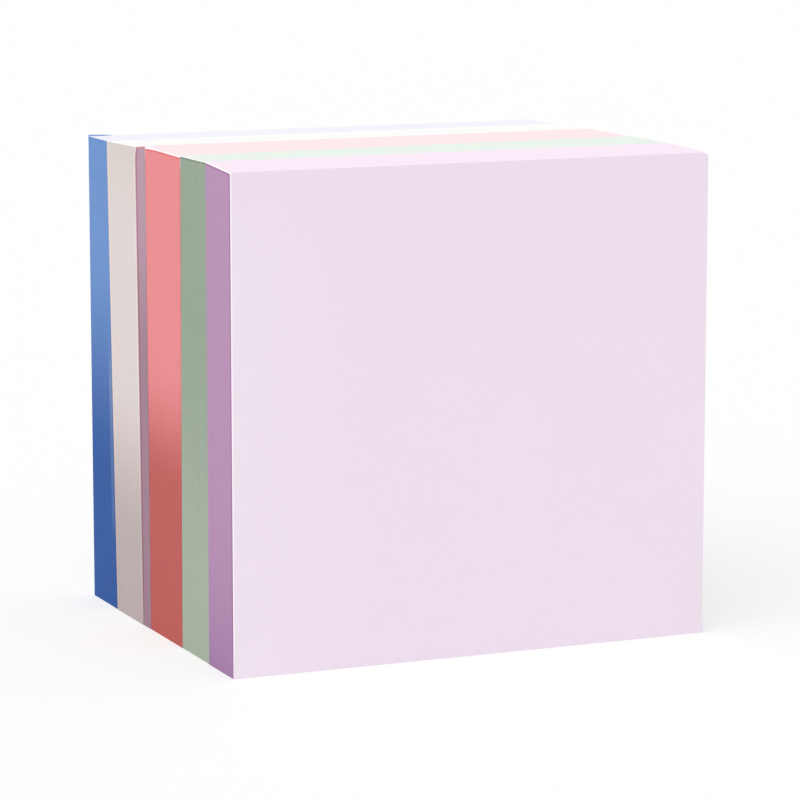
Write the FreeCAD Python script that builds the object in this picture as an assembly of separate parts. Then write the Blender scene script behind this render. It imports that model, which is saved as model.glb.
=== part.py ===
import FreeCAD, Part
import os

# A block of sticky notes that stands on its free edge. X runs across the notes, Y from the front note
# to the back one, and Z up to the bonded edge. The origin is the middle of the foot.
# Six colours follow each other, and each colour is one solid stack of sheets. All lengths are millimetres.

# A sheet
note_width = 76.0
note_height = 73.0
sheet_thickness = 0.1

# Sheets of each colour, from the front note to the back one
lilac_sheet_count = 115
green_sheet_count = 122
coral_sheet_count = 133
mauve_sheet_count = 33
cream_sheet_count = 118
blue_sheet_count = 99

# How far each seam's upper edge lies behind its foot
lilac_green_lean = -0.2
green_coral_lean = -1.0
coral_mauve_lean = 0.4
mauve_cream_lean = 1.4
cream_blue_lean = 2.4

# How far each seam's right end lies behind its left end
lilac_green_turn = 3.0
green_coral_turn = 5.0
coral_mauve_turn = 2.8
mauve_cream_turn = 1.8
cream_blue_turn = 0.7

# The first cream sheets bend forward over the mauve ones near the bonded edge
mauve_cream_curl = 0.5
curl_height = 1.6

# How far the left corners of each colour's first and last sheets stand above the note height
lilac_back_rise = 0.68
green_front_rise = 0.62
green_back_rise = 0.6
coral_front_rise = 0.45
coral_back_rise = 0.65
mauve_front_rise = 0.7
mauve_back_rise = 0.3
cream_front_rise = 0.25

# The right corners stand this share of that rise above the note height
right_rise_share = 0.5

# How far each colour has slid to the right of the block's middle
green_slide = 0.1
coral_slide = 0.05
cream_slide = -0.1

# Cuts across the sheets' upper corners. The coral one widens from the first sheet to the last
lilac_corner_cut = 0.2
green_corner_cut = 0.15
coral_front_corner_cut = 0.2
coral_back_corner_cut = 0.45

# The cut along the upright edges of the front note
front_edge_cut = 0.15

# A blank reaches ten sheets past its seams before they trim it
trim_margin = 10 * sheet_thickness


class Seam:
    """The surface between two colours, which leans, turns and may curl near the bonded edge."""

    def __init__(self, depth, lean=0.0, turn=0.0, curl=0.0):
        self.depth = depth
        self.lean = lean
        self.turn = turn
        self.curl = curl

    def reach(self):
        """How far the surface strays from its mean depth, with the trimming margin."""
        return (abs(self.lean) + abs(self.turn)) / 2 + self.curl + trim_margin

    def left_head(self):
        """How far behind the front note the surface meets the left upper corner, without its curl."""
        return self.depth + (self.lean - self.turn) / 2

    def y(self, x, z):
        """Where the surface without its curl lies at a place across and up the notes."""
        lean = self.lean * (z / note_height - 0.5)
        turn = self.turn * x / note_width
        return self.depth - block_depth / 2 + lean + turn


class Stack:
    """One colour's sheets between two seams, with the rises and cuts of its first and last sheets."""

    def __init__(self, name, front, back, front_rise=0.0, back_rise=0.0, slide=0.0, front_corner_cut=0.0,
                 back_corner_cut=0.0, edge_cut=0.0):
        self.name = name
        self.front = front
        self.back = back
        self.front_rise = front_rise
        self.back_rise = back_rise
        self.slide = slide
        self.front_corner_cut = front_corner_cut
        self.back_corner_cut = back_corner_cut
        self.edge_cut = edge_cut

    def between(self, depth, at_front, at_back):
        """A value that goes evenly from one seam to the other, at this depth behind the front note."""
        share = (depth - self.front.left_head()) / (self.back.left_head() - self.front.left_head())
        return at_front + share * (at_back - at_front)

    def rise(self, depth):
        """The rise of the left corner of the sheet at this depth."""
        return self.between(depth, self.front_rise, self.back_rise)

    def corner_cut(self, depth):
        """The cut across the upper corners of the sheet at this depth."""
        return self.between(depth, self.front_corner_cut, self.back_corner_cut)


block_depth = sheet_thickness * (
    lilac_sheet_count
    + green_sheet_count
    + coral_sheet_count
    + mauve_sheet_count
    + cream_sheet_count
    + blue_sheet_count
)
half_width = note_width / 2
over_width = note_width + 4 * trim_margin
over_height = note_height + 4 * trim_margin


def make_seams():
    """The seven surfaces that bound the six colours, from the front note to the back one."""
    seams = [Seam(0.0)]
    for sheet_count, lean, turn, curl in (
        (lilac_sheet_count, lilac_green_lean, lilac_green_turn, 0.0),
        (green_sheet_count, green_coral_lean, green_coral_turn, 0.0),
        (coral_sheet_count, coral_mauve_lean, coral_mauve_turn, 0.0),
        (mauve_sheet_count, mauve_cream_lean, mauve_cream_turn, mauve_cream_curl),
        (cream_sheet_count, cream_blue_lean, cream_blue_turn, 0.0),
    ):
        seams.append(Seam(seams[-1].depth + sheet_count * sheet_thickness, lean, turn, curl))
    seams.append(Seam(block_depth))
    return seams


def sheet_outline(stack, depth):
    """The outline of the sheet at this depth, seen from the front, with its upper corners cut."""
    y = depth - block_depth / 2
    left = stack.slide - half_width
    right = stack.slide + half_width
    top_left = note_height + stack.rise(depth)
    top_right = note_height + stack.rise(depth) * right_rise_share
    cut = stack.corner_cut(depth)
    points = [(left, 0.0), (right, 0.0)]
    if cut > 0:
        points += [(right, top_right - cut), (right - cut, top_right)]
        points += [(left + cut, top_left), (left, top_left - cut)]
    else:
        points += [(right, top_right), (left, top_left)]
    corners = [FreeCAD.Vector(x, y, z) for x, z in points]
    return Part.makePolygon(corners + corners[:1])


def seam_profile(seam, x):
    """The seam seen from the side at one place across the notes, as edges from below the foot upward."""
    foot = FreeCAD.Vector(x, seam.y(x, -trim_margin), -trim_margin)
    head = FreeCAD.Vector(x, seam.y(x, over_height), over_height)
    if seam.curl == 0:
        return [Part.LineSegment(foot, head).toShape()]
    start_z = note_height - curl_height
    half_z = note_height - curl_height / 2
    start = FreeCAD.Vector(x, seam.y(x, start_z), start_z)
    half = FreeCAD.Vector(x, seam.y(x, half_z) - seam.curl / 4, half_z)
    end = FreeCAD.Vector(x, seam.y(x, note_height) - seam.curl, note_height)
    bend = Part.Arc(start, half, end)
    onward = bend.tangent(bend.LastParameter)[0]
    beyond = end + onward * ((over_height - note_height) / onward.z)
    return [
        Part.LineSegment(foot, start).toShape(),
        bend.toShape(),
        Part.LineSegment(end, beyond).toShape(),
    ]


def before_seam(seam):
    """A solid that holds everything in front of a seam, wider and taller than the notes."""
    x = -over_width / 2
    near = -block_depth / 2 - seam.reach()
    edges = seam_profile(seam, x)
    foot = edges[0].firstVertex().Point
    head = edges[-1].lastVertex().Point
    near_head = FreeCAD.Vector(x, near, head.z)
    near_foot = FreeCAD.Vector(x, near, foot.z)
    edges.append(Part.LineSegment(head, near_head).toShape())
    edges.append(Part.LineSegment(near_head, near_foot).toShape())
    edges.append(Part.LineSegment(near_foot, foot).toShape())
    side = Part.Face(Part.Wire(edges))
    across = FreeCAD.Vector(over_width, seam.turn * over_width / note_width, 0)
    return side.extrude(across)


def stack_solid(stack):
    """The sheets of one colour, lofted from first to last sheet and trimmed by the seams."""
    first = stack.front.depth - stack.front.reach()
    last = stack.back.depth + stack.back.reach()
    blank = Part.makeLoft([sheet_outline(stack, first), sheet_outline(stack, last)], True, True)
    solid = blank.common(before_seam(stack.back)).cut(before_seam(stack.front)).Solids[0]
    if stack.edge_cut > 0:
        solid = solid.makeChamfer(stack.edge_cut, front_uprights(solid))
    return solid


def front_uprights(solid):
    """The two upright edges of the front note."""
    front_y = -block_depth / 2
    uprights = []
    for edge in solid.Edges:
        start, end = [vertex.Point for vertex in edge.Vertexes]
        in_front = max(start.y, end.y) < front_y + sheet_thickness
        upright = abs(end.z - start.z) > note_height / 2
        if in_front and upright:
            uprights.append(edge)
    return uprights


def make_stacks():
    """The six colours from front to back, each between its own two seams."""
    face, lilac_green, green_coral, coral_mauve, mauve_cream, cream_blue, rear = make_seams()
    return [
        Stack("lilac_notes", face, lilac_green, 0.0, lilac_back_rise, 0.0, lilac_corner_cut,
              lilac_corner_cut, front_edge_cut),
        Stack("green_notes", lilac_green, green_coral, green_front_rise, green_back_rise, green_slide,
              green_corner_cut, green_corner_cut),
        Stack("coral_notes", green_coral, coral_mauve, coral_front_rise, coral_back_rise, coral_slide,
              coral_front_corner_cut, coral_back_corner_cut),
        Stack("mauve_notes", coral_mauve, mauve_cream, mauve_front_rise, mauve_back_rise),
        Stack("cream_notes", mauve_cream, cream_blue, cream_front_rise, 0.0, cream_slide),
        Stack("blue_notes", cream_blue, rear),
    ]


def main():
    """Builds each colour and writes it to its own file."""
    os.makedirs("parts", exist_ok=True)
    for stack in make_stacks():
        stack_solid(stack).exportStep("parts/" + stack.name + ".step")


main()
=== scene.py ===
"""A block of sticky notes: six stacks of coloured sheets, dressed as paper, on a pale studio floor."""
import logging
import math
from dataclasses import dataclass, replace
from enum import Enum

import bpy
import numpy as np
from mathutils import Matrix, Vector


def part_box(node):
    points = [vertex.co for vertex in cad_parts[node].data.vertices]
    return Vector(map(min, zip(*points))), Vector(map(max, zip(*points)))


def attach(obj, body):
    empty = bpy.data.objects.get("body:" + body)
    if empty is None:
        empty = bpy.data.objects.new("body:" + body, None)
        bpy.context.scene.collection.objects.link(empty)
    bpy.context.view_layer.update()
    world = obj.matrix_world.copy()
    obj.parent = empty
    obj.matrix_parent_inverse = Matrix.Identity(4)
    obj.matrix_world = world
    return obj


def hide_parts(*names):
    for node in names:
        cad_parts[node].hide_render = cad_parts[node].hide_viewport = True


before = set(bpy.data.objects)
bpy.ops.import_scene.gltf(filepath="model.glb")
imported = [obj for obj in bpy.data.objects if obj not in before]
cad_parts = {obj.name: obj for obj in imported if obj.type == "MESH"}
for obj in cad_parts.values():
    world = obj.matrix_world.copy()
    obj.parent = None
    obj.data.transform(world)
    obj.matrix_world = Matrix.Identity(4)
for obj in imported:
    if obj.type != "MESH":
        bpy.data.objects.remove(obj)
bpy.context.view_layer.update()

MM = 0.001
BODY = "root"
BAKE_MAP = "OFBake"
MARKS = "marks"
RINGS_PER_SHEET = 3

Triple = tuple[float, float, float]
Colour = Triple
NO_TINT: Colour = (1.0, 1.0, 1.0)
WHITE: Colour = (1.0, 1.0, 1.0)
log = logging.getLogger("notes")


def linear(red: int, green: int, blue: int) -> Colour:
    """Turns a colour as seen on a screen into the light it stands for.

    Args:
        red: Red, from 0 to 255.
        green: Green, from 0 to 255.
        blue: Blue, from 0 to 255.

    Returns:
        The same colour as three linear shares from 0 to 1.
    """
    shares = np.array([red, green, blue]) / 255
    light = np.where(shares <= 0.04045, shares / 12.92, ((shares + 0.055) / 1.055) ** 2.4)
    return tuple(float(share) for share in light)


def band(distance: np.ndarray | float, reach: float, border: float = 0.4) -> np.ndarray:
    """Tells what lies in a band with a soft border.

    Args:
        distance: Distances from the band's middle.
        reach: How far the band goes on each side of it.
        border: The outer share of that reach, over which the band fades out.

    Returns:
        1 inside, 0 outside and a share between them in the border.
    """
    return np.clip((reach - distance) / (border * reach), 0.0, 1.0)


class Fade(Enum):
    """How a cut edge's colour, and with it the painted shade on it, goes from its foot to its bonded end.
    """

    SOFT = "an even turn from one colour to the other"
    AT_FOOT = "a turn that gathers near the foot"


class Side(Enum):
    """The six sides of a stack of sheets, the four long ones first."""

    LEFT = 0
    TOP = 1
    RIGHT = 2
    FOOT = 3
    FRONT = 4
    BACK = 5


LONG_SIDES = (Side.LEFT, Side.TOP, Side.RIGHT, Side.FOOT)


class Skin(Enum):
    """The kinds of surface on a stack, which are also its material slots."""

    CUT = 0
    # The bonded upper edges, painted pale: painted light from above.
    BONDED = 1
    # Eased edges, painted near white: a painted highlight.
    EASED = 2
    FACE = 3


class Level:
    """A number that varies over a surface. Sums and products of levels add their own Math nodes."""

    def __init__(self, nodes: "Nodes", socket: bpy.types.NodeSocket) -> None:
        """Wraps an output socket.

        Args:
            nodes: The tree that holds the socket's node.
            socket: The output that gives the number.
        """
        self.nodes = nodes
        self.socket = socket

    def joined(self, operation: str, first: "Level | float", second: "Level | float") -> "Level":
        """Adds one Math node.

        Args:
            operation: The Math node's operation.
            first: Its first value.
            second: Its second value.

        Returns:
            The node's result as a new level.
        """
        node = self.nodes.node("ShaderNodeMath", {"operation": operation}, {0: first, 1: second})
        return Level(self.nodes, node.outputs[0])

    def __add__(self, other: "Level | float") -> "Level":
        """This level plus another value."""
        return self.joined("ADD", self, other)

    def __radd__(self, other: float) -> "Level":
        """A number plus this level."""
        return self.joined("ADD", other, self)

    def __sub__(self, other: "Level | float") -> "Level":
        """This level less another value."""
        return self.joined("SUBTRACT", self, other)

    def __rsub__(self, other: float) -> "Level":
        """A number less this level."""
        return self.joined("SUBTRACT", other, self)

    def __mul__(self, other: "Level | float") -> "Level":
        """This level times another value."""
        return self.joined("MULTIPLY", self, other)

    def __rmul__(self, other: float) -> "Level":
        """A number times this level."""
        return self.joined("MULTIPLY", other, self)

    def clamped(self) -> "Level":
        """This level kept between 0 and 1."""
        return self.joined("MINIMUM", self.joined("MAXIMUM", self, 0.0), 1.0)

    def ramp(self, start: float, end: float) -> "Level":
        """Stretches the level between two of its values.

        Args:
            start: The value that becomes 0.
            end: The value that becomes 1, above or below the start.

        Returns:
            The stretched level, kept between 0 and 1.
        """
        return ((self - start) * (1 / (end - start))).clamped()


class Nodes:
    """The node tree of a material or of the world, with one method that adds any node."""

    def __init__(self, tree: bpy.types.NodeTree) -> None:
        """Empties the tree.

        Args:
            tree: The node tree.
        """
        self.tree = tree
        self.tree.nodes.clear()

    def node(self, kind: str, settings: dict | None = None, values: dict | None = None) -> bpy.types.Node:
        """Adds a node, sets it up, and then fills or links its inputs.

        Args:
            kind: The node's type.
            settings: Its own settings, by name.
            values: Its inputs, by name or place: a level, a socket, a number, a vector or a colour.

        Returns:
            The new node.
        """
        node = self.tree.nodes.new(kind)
        for name, value in (settings or {}).items():
            setattr(node, name, value)
        for name, value in (values or {}).items():
            socket = node.inputs[name]
            if isinstance(value, Level):
                value = value.socket
            if isinstance(value, bpy.types.NodeSocket):
                self.tree.links.new(value, socket)
            else:
                socket.default_value = (*value, 1.0) if socket.type == "RGBA" else value
        return node

    def in_view(self) -> Level:
        """Tells rays that show a surface from rays that only gather light.

        Returns:
            1 for what the camera sees, also in gloss or glass, and 0 for the rest.
        """
        path = self.node("ShaderNodeLightPath")
        kinds = ("Camera", "Glossy", "Transmission")
        camera, gloss, glass = (Level(self, path.outputs[f"Is {kind} Ray"]) for kind in kinds)
        return (camera + gloss + glass).clamped()


@dataclass(frozen=True)
class Grain:
    """How fine a soft noise is: its features in a millimetre along each axis, and its finer octaves."""

    per_mm: Triple
    octaves: float


class Shader(Nodes):
    """A material's nodes, with the steps that its paper or floor is made of."""

    octave_share: float = 0.55
    paper_gloss: float = 0.18

    def __init__(self, name: str) -> None:
        """Makes an empty material.

        Args:
            name: The material's name.
        """
        self.material = bpy.data.materials.new(name)
        self.material.use_nodes = True
        super().__init__(self.material.node_tree)

    def place(self) -> bpy.types.NodeSocket:
        """The place on the object, in metres."""
        return self.node("ShaderNodeTexCoord").outputs["Object"]

    def along(self, axis: str) -> Level:
        """The place along one axis, X, Y or Z, in millimetres."""
        parts = self.node("ShaderNodeSeparateXYZ", values={0: self.place()})
        return Level(self, parts.outputs[axis]) * (1 / MM)

    def noise(self, grain: Grain) -> Level:
        """Adds soft noise from 0 to 1.

        Args:
            grain: How fine it is.

        Returns:
            The noise as a level.
        """
        scaled = self.node(
            "ShaderNodeVectorMath",
            {"operation": "MULTIPLY"},
            {0: self.place(), 1: tuple(count / MM for count in grain.per_mm)},
        )
        values = {
            "Vector": scaled.outputs[0],
            "Scale": 1.0,
            "Detail": grain.octaves,
            "Roughness": self.octave_share,
        }
        return Level(self, self.node("ShaderNodeTexNoise", values=values).outputs["Fac"])

    def mixed(
        self, share: Level, first: Colour | bpy.types.NodeSocket, second: Colour | bpy.types.NodeSocket
    ) -> bpy.types.NodeSocket:
        """Blends two colours.

        Args:
            share: How much of the second colour shows, from 0 to 1.
            first: The colour at 0.
            second: The colour at 1.

        Returns:
            The blended colour.
        """
        node = self.node("ShaderNodeMix", {"data_type": "RGBA"}, {0: share, 6: first, 7: second})
        return node.outputs[2]

    def tinted(self, colour: bpy.types.NodeSocket, share: Level, tint: Colour) -> bpy.types.NodeSocket:
        """Tints a colour where a level is high.

        Args:
            colour: The colour.
            share: How much of the tint shows, from 0 to 1.
            tint: What each channel is multiplied by where the level is 1.

        Returns:
            The tinted colour, or the same one if there is no tint.
        """
        if tint == NO_TINT:
            return colour
        node = self.node("ShaderNodeVectorMath", {"operation": "MULTIPLY"}, {0: colour, 1: tint})
        return self.mixed(share, colour, node.outputs[0])

    def scaled(self, colour: Colour | bpy.types.NodeSocket, share: Level) -> bpy.types.NodeSocket:
        """Makes a colour lighter or deeper.

        Args:
            colour: The colour.
            share: What it is multiplied by.

        Returns:
            The colour times the share.
        """
        node = self.node("ShaderNodeVectorMath", {"operation": "SCALE"}, {0: colour, "Scale": share})
        return node.outputs[0]

    def paper(
        self, colour: bpy.types.NodeSocket, roughness: Level, relief: Level, relief_mm: float
    ) -> bpy.types.Material:
        """Ends the tree in an uncoated paper surface.

        Args:
            colour: The base colour.
            roughness: The roughness.
            relief: The height of the fine relief, from 0 to 1.
            relief_mm: How deep that relief is, in millimetres.

        Returns:
            The finished material.
        """
        bump = self.node(
            "ShaderNodeBump", values={"Strength": 1.0, "Distance": relief_mm * MM, "Height": relief}
        )
        surface = self.node(
            "ShaderNodeBsdfPrincipled",
            values={
                "Base Color": colour,
                "Roughness": roughness,
                "Specular IOR Level": self.paper_gloss,
                "Normal": bump.outputs[0],
            },
        )
        self.node("ShaderNodeOutputMaterial", values={0: surface.outputs[0]})
        return self.material


@dataclass(frozen=True)
class NoteFace:
    """The flat face of a note: smooth uncoated paper with a faint cloudiness and fibre.

    It may be painted a little lighter near its left side, below the bonded strip: painted light.
    """

    colour: Colour
    left_painted_light: Colour = NO_TINT
    left_from_mm: float = -20.0
    left_to_mm: float = -36.0
    tint_top_mm: float = 73.0
    tint_full_mm: float = 59.0
    tone_range: float = 0.012
    clouds: Grain = Grain((0.05, 0.05, 0.05), 2.0)
    fibres: Grain = Grain((3.0, 3.0, 3.0), 3.0)
    roughness: float = 0.86
    roughness_range: float = 0.08
    relief_mm: float = 0.004

    def material(self, name: str) -> bpy.types.Material:
        """Builds the face's material.

        Args:
            name: The material's name.

        Returns:
            The material.
        """
        shader = Shader(name)
        cloud = shader.noise(self.clouds)
        fibre = shader.noise(self.fibres)
        colour = self.colour
        # Painted light: the face grows a little lighter towards its left side, below the bonded strip.
        if self.left_painted_light != NO_TINT:
            left = shader.along("X").ramp(self.left_from_mm, self.left_to_mm)
            left = left * shader.along("Z").ramp(self.tint_top_mm, self.tint_full_mm)
            colour = shader.mixed(left, colour, tuple(a * b for a, b in zip(colour, self.left_painted_light)))
        tone = 1.0 + self.tone_range * (cloud - 0.5) + self.tone_range * (fibre - 0.5)
        roughness = self.roughness + self.roughness_range * (fibre - 0.5)
        return shader.paper(shader.scaled(colour, tone), roughness, fibre, self.relief_mm)


@dataclass(frozen=True)
class PaintedLightEdge:
    """The upper edges of the sheets, pressed tight by their adhesive and painted very pale: painted light
    from above. The eased edges take this finish too, painted near white as a painted highlight.
    """

    colour: Colour
    streak: float = 0.03
    sheets: Grain = Grain((0.04, 4.0, 0.04), 2.0)
    roughness: float = 0.8
    roughness_range: float = 0.1
    relief_mm: float = 0.01

    def material(self, name: str) -> bpy.types.Material:
        """Builds the bonded edge's material.

        Args:
            name: The material's name.

        Returns:
            The material.
        """
        shader = Shader(name)
        sheets = shader.noise(self.sheets)
        tone = 1.0 + self.streak * (sheets - 0.5)
        roughness = self.roughness + self.roughness_range * (sheets - 0.5)
        return shader.paper(shader.scaled(self.colour, tone), roughness, sheets, self.relief_mm)


@dataclass(frozen=True)
class CutEdge:
    """The trimmed edges of the sheets, whose colour changes from the bonded end to the foot: painted shade
    makes most of them deeper towards the foot, and painted light makes the green paler there.

    The tints fall on the first sheets, on the last ones, on the rim under the upper edge or behind
    an eased front edge, and near the head. The rim's tint is painted shade, a deeper line beside the
    pale upper edge and the eased front edge; on the mauve it is a red line.
    """

    high: Colour
    low: Colour
    low_mm: float
    high_mm: float
    fade: Fade = Fade.SOFT
    first: Colour = NO_TINT
    last: Colour = NO_TINT
    rim: Colour = NO_TINT
    head: Colour = NO_TINT
    head_from_mm: float = 63.0
    head_to_mm: float = 73.0
    streak: float = 0.03
    sheets: Grain = Grain((0.02, 4.0, 0.02), 2.0)
    bundle_streak: float = 0.012
    bundles: Grain = Grain((0.03, 0.7, 0.03), 1.0)
    roughness: float = 0.78
    roughness_range: float = 0.12
    relief_mm: float = 0.006

    def faded(self, share: Level) -> Level:
        """Bends the even rise of a level into this edge's fade.

        Args:
            share: The height between the fade's ends, from 0 to 1.

        Returns:
            How much of the upper colour shows there.
        """
        if self.fade is Fade.SOFT:
            return share * share * (3.0 - 2.0 * share)
        rest = 1.0 - share
        return 1.0 - rest * rest

    def material(self, name: str) -> bpy.types.Material:
        """Builds the cut edge's material.

        Args:
            name: The material's name.

        Returns:
            The material.
        """
        shader = Shader(name)
        height = shader.along("Z")
        sheets = shader.noise(self.sheets)
        bundles = shader.noise(self.bundles)
        tone = 1.0 + self.streak * (sheets - 0.5) + self.bundle_streak * (bundles - 0.5)
        # Painted shade: the colour runs from high near the bonded end to a deeper low at the foot; on the
        # green the low colour is paler, as painted light.
        colour = shader.mixed(self.faded(height.ramp(self.low_mm, self.high_mm)), self.low, self.high)
        colour = shader.scaled(colour, tone)
        marks = shader.node("ShaderNodeAttribute", {"attribute_name": MARKS})
        marks = shader.node("ShaderNodeSeparateXYZ", values={0: marks.outputs["Vector"]})
        # The rim's tint is painted shade in most colours; the mauve's last tint and the cream's first and
        # last ones are painted shadow and light, as noted with each colour.
        for axis, tint in (("X", self.first), ("Y", self.last), ("Z", self.rim)):
            colour = shader.tinted(colour, Level(shader, marks.outputs[axis]), tint)
        colour = shader.tinted(colour, height.ramp(self.head_from_mm, self.head_to_mm), self.head)
        roughness = self.roughness + self.roughness_range * (sheets - 0.5)
        return shader.paper(colour, roughness, sheets, self.relief_mm)


@dataclass(frozen=True)
class Paper:
    """One colour of note paper, with a finish for each kind of surface that its stack shows."""

    cut: CutEdge
    bonded: PaintedLightEdge
    face: NoteFace | None = None
    # Eased edges are painted near white in every colour: a painted highlight on the small cuts.
    eased: PaintedLightEdge = PaintedLightEdge(linear(252, 248, 250))

    def materials(self, name: str) -> list[bpy.types.Material]:
        """Builds the colour's materials in the order of Skin.

        Args:
            name: The start of each material's name.

        Returns:
            The cut edge material, the bonded edge material with its painted light, the eased edge material
            with its painted highlight, and the face's if a face is in view.
        """
        finishes = {"cut_edge": self.cut, "bonded_edge_painted_light": self.bonded, "eased_edge_painted_highlight": self.eased}
        if self.face:
            finishes["face"] = self.face
        return [finish.material(f"{name}_{kind}") for kind, finish in finishes.items()]


@dataclass(frozen=True)
class Seam:
    """The surface between two colours, in millimetres, which leans, turns and may curl."""

    lean: float = 0.0
    turn: float = 0.0
    curl: float = 0.0
    depth: float = 0.0


@dataclass(frozen=True)
class Sheet:
    """The size of a note and of the block, in millimetres."""

    width: float
    height: float
    block_depth: float
    curl_height: float = 1.6
    right_rise_share: float = 0.5

    def seam_y(self, seam: Seam, x: np.ndarray, z: np.ndarray) -> np.ndarray:
        """Where a seam lies.

        Args:
            seam: The seam.
            x: Places across the notes.
            z: Heights above the foot.

        Returns:
            The seam's place from front to back at each point.
        """
        lean = seam.lean * (z / self.height - 0.5)
        turn = seam.turn * x / self.width
        bent = np.clip((z - self.height + self.curl_height) / self.curl_height, 0.0, None)
        return seam.depth - self.block_depth / 2 + lean + turn - seam.curl * bent**2


@dataclass(frozen=True)
class Patch:
    """A rectangle of the bake map that one side of a stack is drawn in."""

    left: float
    low: float
    right: float
    high: float
    upright: bool = False

    def spread(self, along: np.ndarray, across: np.ndarray) -> np.ndarray:
        """Lays points of a side out in the rectangle.

        Args:
            along: Shares along the side, from 0 to 1.
            across: Shares across it, from 0 to 1.

        Returns:
            The points' places in the map, two numbers each.
        """
        if self.upright:
            along, across = across, along
        u = self.left + (self.right - self.left) * along
        v = self.low + (self.high - self.low) * across
        return np.stack([u, v], axis=-1)


def inner_map() -> dict[Side, Patch]:
    """The bake map of a stack whose faces are hidden.

    Returns:
        Four wide strips for the long sides, and two small patches over them for the faces.
    """
    strip = 0.235
    patches = {
        side: Patch(0.01, 0.01 + strip * place, 0.99, strip * (place + 1))
        for place, side in enumerate(LONG_SIDES)
    }
    patches[Side.FRONT] = Patch(0.01, 0.955, 0.48, 0.99)
    patches[Side.BACK] = Patch(0.52, 0.955, 0.99, 0.99)
    return patches


def outer_map(shown: Side) -> dict[Side, Patch]:
    """The bake map of a stack with one face in view.

    Args:
        shown: The face in view, front or back.

    Returns:
        A patch for each side, the shown face the largest.
    """
    hidden = Side.BACK if shown is Side.FRONT else Side.FRONT
    return {
        shown: Patch(0.01, 0.01, 0.66, 0.66),
        Side.LEFT: Patch(0.68, 0.01, 0.83, 0.99, upright=True),
        Side.RIGHT: Patch(0.84, 0.01, 0.99, 0.99, upright=True),
        Side.TOP: Patch(0.01, 0.68, 0.66, 0.82),
        Side.FOOT: Patch(0.01, 0.83, 0.66, 0.96),
        hidden: Patch(0.01, 0.97, 0.66, 0.99),
    }


@dataclass(frozen=True)
class Loop:
    """How the points round a sheet are shared out: up the left, over the top, down the right and back."""

    up: int
    over: int

    def count(self) -> int:
        """How many points there are in all. The foot shares its ends with the sides."""
        return 2 * (self.up + self.over) - 2

    def span(self, side: Side) -> range:
        """The points that start the steps along a long side. The corner steps belong to the top."""
        starts = (0, self.up - 1, self.up + self.over, 2 * self.up + self.over - 1, self.count())
        return range(starts[side.value], starts[side.value + 1])

    def strips(self) -> list[list[int]]:
        """The faces that close the loop, one over the other.

        Returns:
            Each face's points, in the order seen from behind the block.
        """
        left = list(range(self.up))
        right = list(range(2 * self.up + self.over - 1, self.up + self.over - 1, -1))
        foot = range(2 * self.up + self.over, self.count())
        top = range(self.up, self.up + self.over)
        strips = [[left[0], left[1], right[1], right[0], *foot]]
        for step in range(1, self.up - 1):
            strips.append([left[step], left[step + 1], right[step + 1], right[step]])
        return [*strips, [left[-1], *top, right[-1]]]


@dataclass(frozen=True)
class Ring:
    """The points round one sheet, the way into the paper at each, and its upper corner's height there."""

    x: np.ndarray
    z: np.ndarray
    x_in: np.ndarray
    z_in: np.ndarray
    head: np.ndarray

    def upright(self) -> np.ndarray:
        """1 on the left and right sides, and 0 elsewhere."""
        return np.abs(self.x_in) * (self.z_in == 0)


@dataclass(frozen=True)
class Corners:
    """The shape of a stack's upper corners. Sizes are millimetres.

    They rise above the note's height and are cut across. From a share of the thickness on, the cut
    may be torn wider. The front note's right corner may drop, and the last sheets' left one lift.
    """

    front_rise: float = 0.0
    back_rise: float = 0.0
    cut: float = 0.0
    least_cut: float = 0.04
    tear: float = 0.0
    tear_from: float = 0.6
    drop: float = 0.0
    drop_reach: float = 1.5
    lift: float = 0.0
    lift_reach: float = 3.7
    lift_bend: float = 0.3
    lift_sheets: int = 3
    lift_steps: int = 4

    def rise_at(self, share: float) -> float:
        """How far the corners rise at a share of the stack's thickness."""
        return self.front_rise + share * (self.back_rise - self.front_rise)

    def cut_at(self, share: float) -> float:
        """How much of the corners is cut off at a share of the stack's thickness."""
        torn = max(share - self.tear_from, 0.0) / (1.0 - self.tear_from)
        return max(self.cut + self.tear * torn**2, self.least_cut)

    def drop_at(self, depth: float) -> float:
        """How far the right corner drops at a depth behind the front seam."""
        return self.drop * max(1.0 - depth / self.drop_reach, 0.0)


@dataclass(frozen=True)
class Relief:
    """The fine relief that single sheets give a stack's sides, in millimetres.

    A groove between two sheets has its own share of the depth at the head, at the foot and on top,
    and each sheet strays a little from the others.
    """

    groove: float = 0.016
    at_head: float = 0.6
    at_foot: float = 1.4
    on_top: float = 0.5
    bevel_share: float = 0.14
    stray: float = 0.008

    def rings(self, sheets: int) -> list[tuple[float, float, int]]:
        """Shares a stack out into rings: two round each sheet, and one in each groove.

        Args:
            sheets: How many sheets the stack has.

        Returns:
            For each ring, front first, its share of the thickness, its depth into the paper and
            its sheet.
        """
        rings = []
        for sheet in range(sheets):
            rings.append(((sheet + self.bevel_share) / sheets, 0.0, sheet))
            rings.append(((sheet + 1.0 - self.bevel_share) / sheets, 0.0, sheet))
            if sheet < sheets - 1:
                rings.append(((sheet + 1.0) / sheets, self.groove, sheet))
        rings[0] = (0.0, 0.0, 0)
        rings[-1] = (1.0, 0.0, sheets - 1)
        return rings


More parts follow.
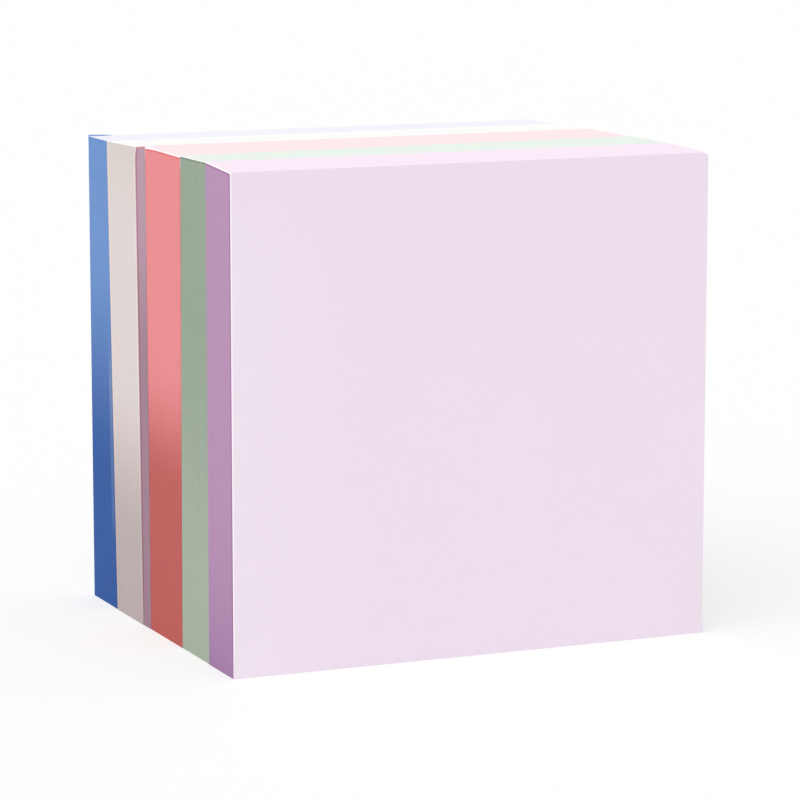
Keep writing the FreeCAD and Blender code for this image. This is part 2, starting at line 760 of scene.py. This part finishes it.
@dataclass(frozen=True)
class Tints:
    """Where the tints of a stack's cut edges lie, in millimetres.

    The first sheets' tint may lie a little further in, and it may show on the left side alone,
    between two heights. The rim's tint, painted shade in most colours, also shows in part behind an
    eased front edge.
    """

    first_at: float = 0.0
    first_reach: float = 0.55
    first_window: tuple[float, float] | None = None
    last_reach: float = 0.55
    rim_reach: float = 0.3
    behind_reach: float = 0.95
    behind_share: float = 0.7

    def marks(self, depth: float, thickness: float, ring: Ring, eased: bool) -> np.ndarray:
        """How much each point lies among the first sheets, the last ones or under the upper edge.

        Args:
            depth: How far the ring lies behind the stack's front seam.
            thickness: How thick the stack is.
            ring: The ring's points.
            eased: Whether the stack's front edge is eased.

        Returns:
            Three shares from 0 to 1 for each point.
        """
        first = band(abs(depth - self.first_at), self.first_reach) * ring.upright()
        if self.first_window:
            low, high = self.first_window
            first = first * band(np.abs(ring.z - (low + high) / 2), (high - low) / 2) * (ring.x_in > 0)
        last = band(thickness - depth, self.last_reach) * ring.upright()
        # Painted shade: the rim's mark, a line under the upper edge and, on an eased stack, behind its
        # pale front edge.
        rim = band(ring.head - ring.z, self.rim_reach)
        if eased:
            rim = np.maximum(rim, self.behind_share * band(depth, self.behind_reach))
        return np.stack([first, last, rim * ring.upright()], axis=-1)


class Faces:
    """A mesh's faces as they are gathered, each with its skin and its place in the bake map."""

    def __init__(self) -> None:
        """Starts with no faces."""
        self.corners: list[tuple[int, ...]] = []
        self.skins: list[int] = []
        self.places: list[np.ndarray] = []

    def add(self, corners: tuple[int, ...], skin: Skin, places: np.ndarray) -> None:
        """Adds a face.

        Args:
            corners: Its points' numbers.
            skin: Its kind of surface.
            places: Its corners' places in the bake map.
        """
        self.corners.append(corners)
        self.skins.append(skin.value)
        self.places.append(places)


@dataclass(frozen=True)
class NoteStack:
    """The sheets of one colour, and the seams before and behind them. Sizes are millimetres.

    The front note's sides may be eased by a small cut, and one face of the stack may be in view.
    The block sets the front seam, the depths of both seams and the seed.
    """

    name: str
    sheets: int
    back: Seam = Seam()
    corners: Corners = Corners()
    tints: Tints = Tints()
    relief: Relief = Relief()
    shown: Side | None = None
    edge_cut: float = 0.0
    edge_clear: float = 1.2
    side_steps: int = 15
    near_head: tuple[float, ...] = (1.2, 0.9, 0.6)
    top_shares: tuple[float, ...] = (
        0.0, 0.012, 0.03, 0.048, 0.07, 0.2, 0.4, 0.6, 0.8, 0.93, 0.965, 0.98, 0.99, 0.996, 1.0,
    )
    front: Seam = Seam()
    seed: int = 0

    def thickness(self) -> float:
        """How thick the stack is."""
        return self.back.depth - self.front.depth

    def stations(self, sheet: Sheet) -> np.ndarray:
        """Shares of an upright side at which it has points, from 0 at the foot to 1 at the corner.

        Args:
            sheet: The note's size.

        Returns:
            The shares, close together where the seams curl and at the rim.
        """
        even = np.linspace(0.0, 1.0 - sheet.curl_height / sheet.height, self.side_steps)
        near = np.array([*self.near_head, self.tints.rim_reach, self.tints.rim_reach / 2, 0.0])
        return np.concatenate([even, 1.0 - near / sheet.height])

    def top(
        self, share: float, ends: tuple[float, float], heads: tuple[float, float]
    ) -> tuple[np.ndarray, np.ndarray]:
        """The points over the top of a sheet.

        Args:
            share: Where the sheet lies, 0 at the front seam and 1 at the back one.
            ends: Where the top starts and ends across the note.
            heads: The heights that it runs between.

        Returns:
            The points' places across the note, and their heights.
        """
        over, corners = np.array(self.top_shares), self.corners
        x = ends[0] + over * (ends[1] - ends[0])
        z = heads[0] + over * (heads[1] - heads[0])
        near_right = np.clip(1.0 - (ends[1] - x) / corners.drop_reach, 0.0, 1.0)
        z = z - corners.drop_at(share * self.thickness()) * near_right**2
        if share > 1.0 - (corners.lift_sheets - 0.5) / self.sheets:
            near_left = np.clip(1.0 - (x - ends[0]) / corners.lift_reach, 0.0, 1.0)
            z = z + corners.lift * near_left**corners.lift_bend
        return x, z

    def ring(self, sheet: Sheet, share: float, slide: float) -> Ring:
        """The outline of the sheet at a share of the stack's thickness.

        Args:
            sheet: The note's size.
            share: 0 at the front seam and 1 at the back one.
            slide: How far the stack lies to the right of the middle.

        Returns:
            The sheet's points.
        """
        rise, cut = self.corners.rise_at(share), self.corners.cut_at(share)
        drop = self.corners.drop_at(share * self.thickness())
        left, right = slide - sheet.width / 2, slide + sheet.width / 2
        heads = sheet.height + rise, sheet.height + rise * sheet.right_rise_share
        left_head, right_head = heads[0] - cut, heads[1] - cut - drop
        up = self.stations(sheet)
        low = np.array(self.top_shares[1:-1])
        top_x, top_z = self.top(share, (left + cut, right - cut), heads)
        side, over, foot = np.ones(up.size), np.ones(top_x.size), np.ones(low.size)
        x = np.concatenate([left * side, top_x, right * side, right - low * sheet.width])
        z = np.concatenate([up * left_head, top_z, up[::-1] * right_head, 0 * foot])
        x_in = np.concatenate([side, 0 * over, -side, 0 * foot])
        z_in = np.concatenate([0 * side, -over, 0 * side, foot])
        z_in[0] = z_in[2 * up.size + over.size - 1] = 1.0
        x_in[up.size], x_in[up.size + over.size - 1] = 1.0, -1.0
        return Ring(x, z, x_in, z_in, np.where(x < slide, left_head, right_head))

    def layers(self) -> list[tuple[float, float, int]]:
        """The rings of the stack, with those that an eased front edge needs.

        Returns:
            For each ring, front first, its share of the thickness, its depth into the paper and
            its sheet.
        """
        rings = self.relief.rings(self.sheets)
        if self.edge_cut:
            cut = self.edge_cut / self.thickness()
            behind = [ring for ring in rings if ring[0] > self.edge_clear * cut]
            rings = [(0.0, 0.0, 0), (cut, 0.0, 1), *behind]
        return rings

    def build(self, sheet: Sheet, slide: float) -> bpy.types.Object:
        """Builds the stack as one closed mesh with every sheet's edge in it.

        Args:
            sheet: The note's size.
            slide: How far the stack lies to the right of the middle.

        Returns:
            The new object.
        """
        rng, relief, thickness = np.random.default_rng(self.seed), self.relief, self.thickness()
        strays = rng.uniform(-1.0, 1.0, (self.sheets, 2))[:, 0] * relief.stray
        sinks = rng.uniform(0.0, 1.0, self.sheets) * relief.stray
        points, marks = [], []
        for share, groove, number in self.layers():
            ring = self.ring(sheet, share, slide)
            deepening = (relief.at_foot - relief.at_head) * (1.0 - ring.z / sheet.height)
            into = groove * (relief.at_head + deepening) + relief.stray + strays[number] * ring.x_in
            if share == 0.0:
                into = into + self.edge_cut * ring.upright()
            sunk = np.where(ring.z_in < 0, groove * relief.on_top + sinks[number], groove)
            x = ring.x + ring.x_in * into
            z = ring.z + ring.z_in * sunk
            front_y = sheet.seam_y(self.front, x, z)
            back_y = sheet.seam_y(self.back, x, z)
            points.append(np.stack([x, front_y + share * (back_y - front_y), z], axis=-1))
            marks.append(self.tints.marks(share * thickness, thickness, ring, self.edge_cut > 0.0))
        return self.mesh(np.array(points), np.array(marks), sheet)

    def skin(self, side: Side, step: int, ring: int, rings: int) -> Skin:
        """The kind of surface of a face on one of the long sides.

        Args:
            side: The side.
            step: Its place among the side's steps.
            ring: The ring that it starts from.
            rings: How many rings there are.

        Returns:
            Its skin.
        """
        if side is not Side.TOP:
            # The front note's eased sides take the near-white finish, a painted highlight.
            eased = self.edge_cut and ring == 0 and side is not Side.FOOT
            return Skin.EASED if eased else Skin.CUT
        last = ring >= rings - RINGS_PER_SHEET * self.corners.lift_sheets
        if self.corners.lift and last and step < self.corners.lift_steps:
            return Skin.CUT
        corner = step in (0, len(self.top_shares))
        # Cut top corners take the eased finish, a painted highlight; the rest of the top takes the bonded
        # edge's painted light.
        return Skin.EASED if corner and self.corners.cut else Skin.BONDED

    def wrap(self, faces: Faces, loop: Loop, bake: dict[Side, Patch]) -> None:
        """Adds the faces of the four long sides.

        Args:
            faces: Where they are gathered.
            loop: How the rings' points are shared out.
            bake: The bake map's patches.
        """
        shares = np.array([share for share, _, _ in self.layers()])
        count = loop.count()
        for side in LONG_SIDES:
            span = loop.span(side)
            for place, step in enumerate(span):
                after = (step + 1) % count
                along = np.array([place, place + 1, place + 1, place]) / len(span)
                for ring in range(shares.size - 1):
                    near, far = ring * count, (ring + 1) * count
                    across = shares[[ring, ring, ring + 1, ring + 1]]
                    faces.add(
                        (near + step, near + after, far + after, far + step),
                        self.skin(side, place, ring, shares.size),
                        bake[side].spread(along, across),
                    )

    def close(
        self, faces: Faces, loop: Loop, bake: dict[Side, Patch], points: np.ndarray, curl_from: float
    ) -> None:
        """Adds the faces that close the stack at its front and back.

        Args:
            faces: Where they are gathered.
            loop: How the rings' points are shared out.
            bake: The bake map's patches.
            points: Every ring's points.
            curl_from: The height above which a hidden face shows as part of the bonded edge, with its
                painted light.
        """
        for side, ring in ((Side.FRONT, 0), (Side.BACK, len(points) - 1)):
            for strip in loop.strips():
                order = strip if side is Side.BACK else strip[::-1]
                at = points[ring][order]
                along = (at[:, 0] - points[..., 0].min()) / np.ptp(points[..., 0])
                across = at[:, 2] / points[..., 2].max()
                # Hidden faces near the top take the bonded edge's painted light, and lower ones the cut
                # edge's painted shade.
                hidden = Skin.BONDED if at[:, 2].min() > curl_from else Skin.CUT
                faces.add(
                    tuple(ring * loop.count() + corner for corner in order),
                    Skin.FACE if side is self.shown else hidden,
                    bake[side].spread(along, across),
                )

    def mesh(self, points: np.ndarray, marks: np.ndarray, sheet: Sheet) -> bpy.types.Object:
        """Joins the rings into a closed mesh, with its material slots, marks and bake map.

        Args:
            points: Every ring's points, in millimetres.
            marks: Every point's three marks.
            sheet: The note's size.

        Returns:
            The object.
        """
        faces = Faces()
        loop = Loop(self.stations(sheet).size, len(self.top_shares))
        bake = outer_map(self.shown) if self.shown else inner_map()
        self.wrap(faces, loop, bake)
        self.close(faces, loop, bake, points, sheet.height - sheet.curl_height)
        mesh = bpy.data.meshes.new(f"{self.name}_sheets")
        mesh.from_pydata((points.reshape(-1, 3) * MM).tolist(), [], faces.corners)
        mesh.polygons.foreach_set("material_index", faces.skins)
        mesh.attributes.new(MARKS, "FLOAT_VECTOR", "POINT").data.foreach_set("vector", marks.ravel())
        mesh.uv_layers.new(name=BAKE_MAP).data.foreach_set("uv", np.concatenate(faces.places).ravel())
        mesh.validate()
        mesh.update()
        piece = bpy.data.objects.new(f"{self.name}_sheets", mesh)
        bpy.context.collection.objects.link(piece)
        return piece

    def dress(self, piece: bpy.types.Object) -> None:
        """Gives the stack its paper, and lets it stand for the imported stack.

        Args:
            piece: The stack's object.
        """
        for material in PAPERS[self.name].materials(self.name):
            piece.data.materials.append(material)
        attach(piece, BODY)
        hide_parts(f"{self.name}_notes")


# Each cut edge's low colour is painted shade, deeper than its high one; the green's is paler, as painted
# light.
PAPERS: dict[str, Paper] = {
    "lilac": Paper(
        CutEdge(
            high=linear(193, 154, 190), low=linear(175, 136, 179), low_mm=0.0, high_mm=30.0,
            fade=Fade.AT_FOOT, last=(1.04, 0.94, 1.06), rim=(0.78, 0.55, 0.78),
        ),
        # The bonded upper edges of each colour are painted far paler than its cut edges: painted light
        # from above.
        PaintedLightEdge(linear(251, 235, 248)),
        # The front face is painted a little lighter near its left side: painted light.
        NoteFace(linear(243, 229, 242), left_painted_light=(1.014, 1.032, 1.02)),
    ),
    "green": Paper(
        CutEdge(
            high=linear(160, 175, 157), low=linear(177, 191, 173), low_mm=5.0, high_mm=52.0,
            first=(0.88, 1.06, 0.84), last=(0.88, 1.06, 1.04), rim=(0.6, 0.69, 0.58),
        ),
        PaintedLightEdge(linear(235, 245, 237)),
    ),
    "coral": Paper(
        CutEdge(
            high=linear(241, 149, 151), low=linear(199, 103, 99), low_mm=23.0, high_mm=42.0,
            first=(1.08, 0.88, 0.9), last=(1.02, 0.97, 0.92), rim=(0.96, 0.63, 0.6),
        ),
        PaintedLightEdge(linear(255, 234, 237)),
    ),
    "mauve": Paper(
        CutEdge(
            high=linear(192, 160, 176), low=linear(169, 137, 154), low_mm=40.0, high_mm=66.0,
            # last: a plum line of painted shadow along the mauve's back, beside the cream; rim: a red line
            # under its upper edge.
            first=(0.95, 1.0, 1.02), last=(0.9, 0.56, 0.68), rim=(1.5, 0.84, 0.76),
        ),
        PaintedLightEdge(linear(255, 234, 237)),
    ),
    "cream": Paper(
        CutEdge(
            high=linear(231, 221, 218), low=linear(198, 185, 184), low_mm=12.0, high_mm=38.0,
            # first: a paler line of painted highlight beside the mauve; last: a paler, warmer line of
            # painted light beside the blue.
            first=(1.1, 1.11, 1.08), last=(1.17, 1.07, 0.95), head=(0.95, 0.955, 0.94),
        ),
        PaintedLightEdge(linear(253, 253, 252)),
    ),
    "blue": Paper(
        CutEdge(
            high=linear(118, 156, 214), low=linear(57, 98, 168), low_mm=20.0, high_mm=57.0,
            first=(2.4, 1.52, 1.1), rim=(0.85, 0.92, 1.05),
        ),
        PaintedLightEdge(linear(245, 243, 252)),
        NoteFace(linear(224, 232, 248)),
    ),
}


@dataclass(frozen=True)
class NoteBlock:
    """The whole block, from the front note to the back one. Sizes are millimetres.

    Each stack has its colour, its count of sheets, the seam behind it and its own shape.
    """

    sheet_thickness: float = 0.1
    stacks: tuple[NoteStack, ...] = (
        NoteStack(
            "lilac", 115, Seam(lean=-0.2, turn=3.0), Corners(back_rise=0.68, cut=0.2, drop=0.3),
            shown=Side.FRONT, edge_cut=0.15,
        ),
        NoteStack(
            "green", 122, Seam(lean=-1.0, turn=5.0), Corners(front_rise=0.62, back_rise=0.6, cut=0.15),
        ),
        NoteStack(
            "coral", 133, Seam(lean=0.4, turn=2.8),
            Corners(front_rise=0.45, back_rise=0.65, cut=0.17, tear=0.2),
        ),
        NoteStack(
            "mauve", 33, Seam(lean=1.4, turn=1.8, curl=0.5), Corners(front_rise=0.7, back_rise=0.3),
        ),
        NoteStack("cream", 118, Seam(lean=2.4, turn=0.7), Corners(front_rise=0.25)),
        NoteStack(
            "blue", 99, corners=Corners(lift=0.2), shown=Side.BACK,
            tints=Tints(first_at=1.15, first_reach=0.8, first_window=(10.0, 41.0)),
        ),
    )

    def sheet(self) -> Sheet:
        """Reads the note's size and the block's depth from the frame.

        Returns:
            The sheet's sizes.
        """
        low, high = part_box("blue_notes")
        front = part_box("lilac_notes")[0]
        return Sheet((high[0] - low[0]) / MM, (high[2] - low[2]) / MM, (high[1] - front[1]) / MM)

    def placed(self) -> list[NoteStack]:
        """Sets the stacks one behind the other, each between two seams.

        Returns:
            The stacks with their seams' depths, front first.
        """
        stacks, front = [], Seam()
        for stack in self.stacks:
            back = replace(stack.back, depth=front.depth + stack.sheets * self.sheet_thickness)
            stacks.append(replace(stack, front=front, back=back, seed=len(stacks) + 1))
            front = back
        return stacks

    def build(self) -> list[bpy.types.Object]:
        """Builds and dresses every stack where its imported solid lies.

        Returns:
            The six stacks' objects.
        """
        sheet = self.sheet()
        pieces = []
        for stack in self.placed():
            low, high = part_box(f"{stack.name}_notes")
            piece = stack.build(sheet, (low[0] + high[0]) / 2 / MM)
            stack.dress(piece)
            pieces.append(piece)
        return pieces


@dataclass(frozen=True)
class Studio:
    """A pale floor and soft light that stands mostly overhead. Lengths are metres, and angles degrees."""

    floor_half: float = 12.0
    floor_colour: Colour = (0.9, 0.9, 0.9)
    shadow_share: float = 0.4
    world_light: float = 0.688
    key_power: float = 1.15
    key_turn: tuple[float, float] = (24.0, -26.0)
    key_angle: float = 60.0

    def floor(self) -> bpy.types.Object:
        """Lays the floor, white where the light is whole and a little deeper in the block's shadow.

        Returns:
            The floor's object.
        """
        half = self.floor_half
        corners = [(-half, -half, 0.0), (half, -half, 0.0), (half, half, 0.0), (-half, half, 0.0)]
        mesh = bpy.data.meshes.new("floor")
        mesh.from_pydata(corners, [], [(0, 1, 2, 3)])
        floor = bpy.data.objects.new("floor", mesh)
        bpy.context.collection.objects.link(floor)
        shader = Shader("studio_floor")
        card = shader.node("ShaderNodeBsdfDiffuse", values={"Color": self.floor_colour})
        shaded = shader.node("ShaderNodeBsdfDiffuse", values={"Color": WHITE})
        white = shader.node("ShaderNodeEmission", values={"Color": WHITE, "Strength": 1.0})
        shown = shader.node(
            "ShaderNodeMixShader", values={0: self.shadow_share, 1: white.outputs[0], 2: shaded.outputs[0]}
        )
        mix = shader.node(
            "ShaderNodeMixShader", values={0: shader.in_view(), 1: card.outputs[0], 2: shown.outputs[0]}
        )
        shader.node("ShaderNodeOutputMaterial", values={0: mix.outputs[0]})
        mesh.materials.append(shader.material)
        return floor

    def room(self) -> None:
        """Fills the room with even light before a white backdrop."""
        world = bpy.data.worlds.new("studio")
        world.use_nodes = True
        nodes = Nodes(world.node_tree)
        light = nodes.node("ShaderNodeBackground", values={"Color": WHITE, "Strength": self.world_light})
        backdrop = nodes.node("ShaderNodeBackground", values={"Color": WHITE, "Strength": 1.0})
        mix = nodes.node(
            "ShaderNodeMixShader", values={0: nodes.in_view(), 1: light.outputs[0], 2: backdrop.outputs[0]}
        )
        nodes.node("ShaderNodeOutputWorld", values={0: mix.outputs[0]})
        bpy.context.scene.world = world

    def key(self) -> None:
        """Hangs one broad soft lamp."""
        lamp = bpy.data.lights.new("key", "SUN")
        lamp.energy = self.key_power
        lamp.angle = math.radians(self.key_angle)
        key = bpy.data.objects.new("key", lamp)
        key.rotation_euler = (math.radians(self.key_turn[0]), math.radians(self.key_turn[1]), 0.0)
        bpy.context.collection.objects.link(key)

    def build(self) -> bpy.types.Object:
        """Lights the room and lays the floor.

        Returns:
            The floor's object.
        """
        self.room()
        self.key()
        bpy.context.scene.view_settings.view_transform = "Standard"
        return self.floor()


@dataclass(frozen=True)
class PhotoView:
    """The photograph's view of the block, found by fitting its visible corners."""

    place_mm: Triple = (-221.7, -515.1, 125.1)
    yaw_deg: float = -23.42
    pitch_deg: float = -9.27
    focal_px: float = 3695.3
    image_px: float = 800.0
    sensor_mm: float = 36.0
    near_m: float = 0.01
    far_m: float = 100.0

    def build(self) -> None:
        """Sets up the camera."""
        data = bpy.data.cameras.new("photo_view")
        data.sensor_width = self.sensor_mm
        data.lens = self.focal_px * self.sensor_mm / self.image_px
        data.clip_start, data.clip_end = self.near_m, self.far_m
        camera = bpy.data.objects.new("photo_view", data)
        camera.location = tuple(length * MM for length in self.place_mm)
        camera.rotation_euler = (math.radians(90.0 + self.pitch_deg), 0.0, math.radians(self.yaw_deg))
        bpy.context.collection.objects.link(camera)
        bpy.context.scene.camera = camera


def main() -> None:
    """Builds the view, the block and the studio, in that order, and reports each piece."""
    logging.basicConfig(level=logging.INFO, format="%(message)s")
    PhotoView().build()
    for piece in (*NoteBlock().build(), Studio().build()):
        log.info("%s: %d faces", piece.name, len(piece.data.polygons))


if __name__ == "__main__":
    main()
